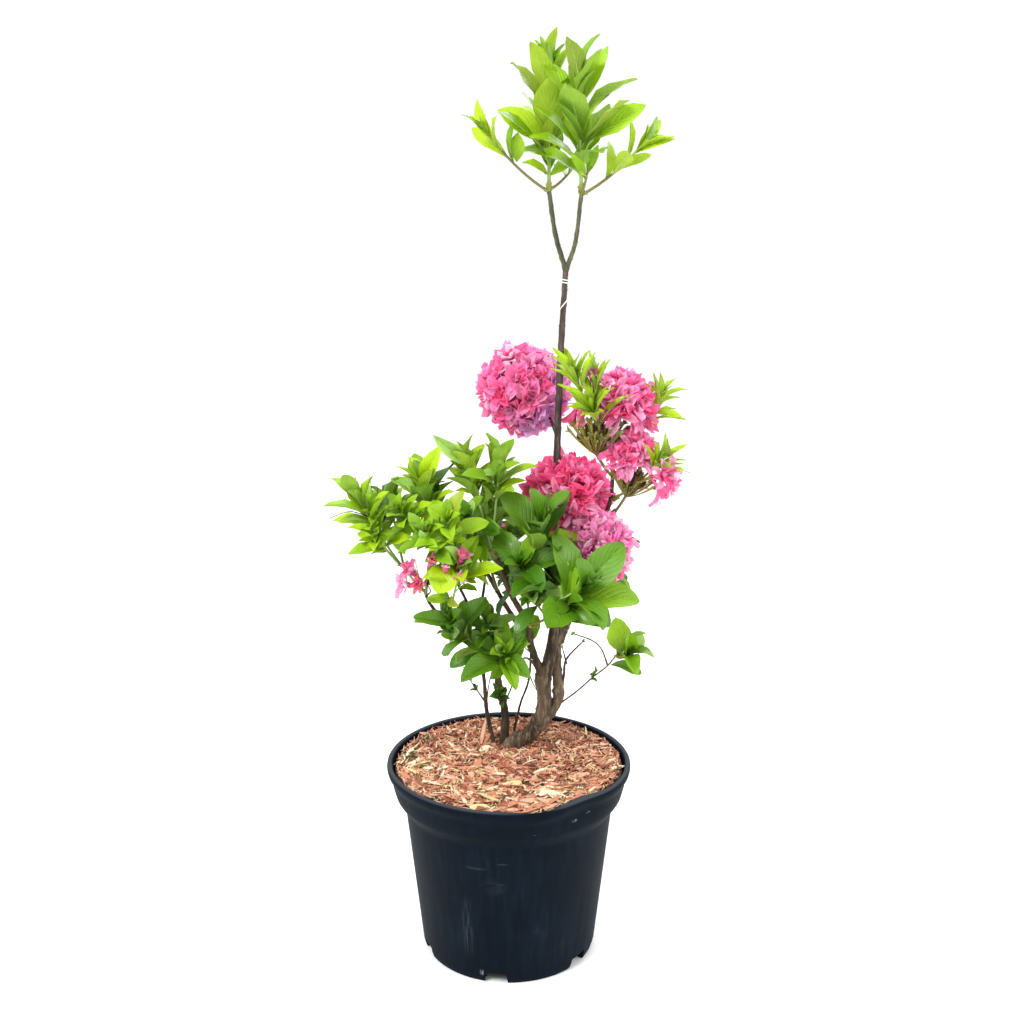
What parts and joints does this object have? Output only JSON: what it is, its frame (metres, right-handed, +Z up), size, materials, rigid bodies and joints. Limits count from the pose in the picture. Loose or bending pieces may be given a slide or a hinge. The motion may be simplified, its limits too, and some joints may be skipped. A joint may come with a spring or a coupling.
{
  "type": "potted azalea shrub",
  "caption": "Young garden azalea in a round black nursery pot: woody stems out of wood-chip mulch, a tall bare leader with a leafy crown, and pink flower trusses over green leaves.",
  "frame": {"origin": "centre of the pot's flat underside", "axes": "+Z up along the pot's axis; +X to the plant's right as it is looked at along +Y"},
  "size_m": [0.3682, 0.2964, 0.953],
  "materials": {
    "pot": "injection-moulded black polypropylene, satin, a little dusty",
    "compost": "dark crumbly potting compost",
    "mulch": "shredded orange-brown wood chips, dry and matt",
    "bark": "thin grey-brown bark, finely fissured",
    "young_leaves": "soft bright spring leaves, satin",
    "mature_leaves": "fuller mid-green leaves, satin, with pressed-in veins",
    "petals": "thin pink petals, deeper pink in the throat"
  },
  "bodies": {
    "root": {"pot": "pot", "compost": "compost", "mulch": "mulch", "trunk": "bark", "leader": "bark", "leader_fork_left": "bark", "leader_fork_right": "bark", "right_trunk": "bark", "bough_right": "bark", "bough_right_upper": "bark", "bough_left": "bark", "bough_ball": "bark", "bough_back_right": "bark", "bough_back_left": "bark", "left_stem": "bark", "bough_wing": "bark", "dark_stem": "bark", "dark_stem_left": "bark", "dark_stem_right": "bark", "back_stem": "bark", "right_twig": "bark", "right_twig_curl": "bark", "bare_twig": "bark", "bare_twig_spur": "bark", "crown_left_leaves": "young_leaves", "crown_right_leaves": "young_leaves", "wing_tip_leaves": "young_leaves", "wing_top_leaves": "young_leaves", "wing_front_leaves": "young_leaves", "wing_pale_leaves": "young_leaves", "wing_upright_leaves": "young_leaves", "wing_inner_leaves": "young_leaves", "lower_left_leaves": "mature_leaves", "centre_upper_leaves": "mature_leaves", "centre_front_leaves": "mature_leaves", "right_twig_leaves": "mature_leaves", "shoots_over_leader": "young_leaves", "shoots_right_upper": "young_leaves", "shoots_right_lower": "young_leaves", "back_left_leaves": "mature_leaves", "back_centre_leaves": "mature_leaves", "back_right_leaves": "mature_leaves", "truss_ball": "petals", "truss_right_upper": "petals", "truss_right_middle": "petals", "truss_right_outer": "petals", "truss_centre": "petals", "truss_low": "petals", "truss_left": "petals", "truss_back": "petals", "truss_back_left": "petals"}
  },
  "joints": []
}
